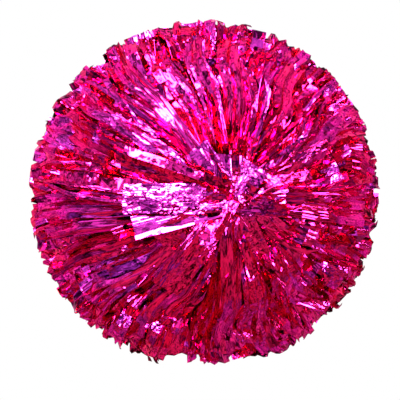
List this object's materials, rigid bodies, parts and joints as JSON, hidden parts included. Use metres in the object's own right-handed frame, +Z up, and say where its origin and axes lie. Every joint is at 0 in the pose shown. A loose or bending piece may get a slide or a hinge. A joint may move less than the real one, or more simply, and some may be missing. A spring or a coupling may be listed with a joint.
{
  "type": "cheer pom pom",
  "caption": "Round cheerleading pom pom: two tufts of pink metallised film streamers that swivel on the ends of a hidden baton handle.",
  "frame": {"origin": "on the resting surface, straight below the middle of the baton, on the baton's axis", "axes": "+Z up along the baton's axis, -Y towards the hand opening between the two tufts"},
  "size_m": [0.3196, 0.3106, 0.25],
  "materials": {
    "metallised_film": "polished",
    "white_plastic": "satin",
    "foam_sleeve": "matte",
    "natural_nylon": "satin",
    "zinc_steel": "satin"
  },
  "bodies": {
    "handle": {"grip_sleeve": "foam_sleeve", "grip_tube": "white_plastic", "lock_nut": "zinc_steel", "lower_end_plug": "white_plastic", "lower_end_washer": "zinc_steel", "lower_thrust_washer": "natural_nylon", "tie_bolt": "zinc_steel", "upper_end_plug": "white_plastic", "upper_end_washer": "zinc_steel", "upper_thrust_washer": "natural_nylon"},
    "upper_tuft": {"upper_cable_tie": "natural_nylon", "upper_center_streamers": "metallised_film", "upper_crown_streamers_1": "metallised_film", "upper_crown_streamers_2": "metallised_film", "upper_crown_streamers_3": "metallised_film", "upper_crown_streamers_4": "metallised_film", "upper_crown_streamers_5": "metallised_film", "upper_crown_streamers_6": "metallised_film", "upper_crown_streamers_7": "metallised_film", "upper_crown_streamers_8": "metallised_film", "upper_film_waist": "metallised_film", "upper_hub": "white_plastic", "upper_skirt_streamers_1": "metallised_film", "upper_skirt_streamers_2": "metallised_film", "upper_skirt_streamers_3": "metallised_film", "upper_skirt_streamers_4": "metallised_film", "upper_skirt_streamers_5": "metallised_film", "upper_skirt_streamers_6": "metallised_film", "upper_skirt_streamers_7": "metallised_film", "upper_skirt_streamers_8": "metallised_film"},
    "lower_tuft": {"lower_cable_tie": "natural_nylon", "lower_center_streamers": "metallised_film", "lower_crown_streamers_1": "metallised_film", "lower_crown_streamers_2": "metallised_film", "lower_crown_streamers_3": "metallised_film", "lower_crown_streamers_4": "metallised_film", "lower_crown_streamers_5": "metallised_film", "lower_crown_streamers_6": "metallised_film", "lower_crown_streamers_7": "metallised_film", "lower_crown_streamers_8": "metallised_film", "lower_film_waist": "metallised_film", "lower_hub": "white_plastic", "lower_skirt_streamers_1": "metallised_film", "lower_skirt_streamers_2": "metallised_film", "lower_skirt_streamers_3": "metallised_film", "lower_skirt_streamers_4": "metallised_film", "lower_skirt_streamers_5": "metallised_film", "lower_skirt_streamers_6": "metallised_film", "lower_skirt_streamers_7": "metallised_film", "lower_skirt_streamers_8": "metallised_film"}
  },
  "joints": [
    {"name": "upper_tuft_swivel", "type": "hinge", "parent": "handle", "child": "upper_tuft", "pos_m": [0, 0, 0.178], "axis": [0, 0, 1], "continuous": true},
    {"name": "lower_tuft_swivel", "type": "hinge", "parent": "handle", "child": "lower_tuft", "pos_m": [0, 0, 0.058], "axis": [0, 0, 1], "continuous": true}
  ]
}
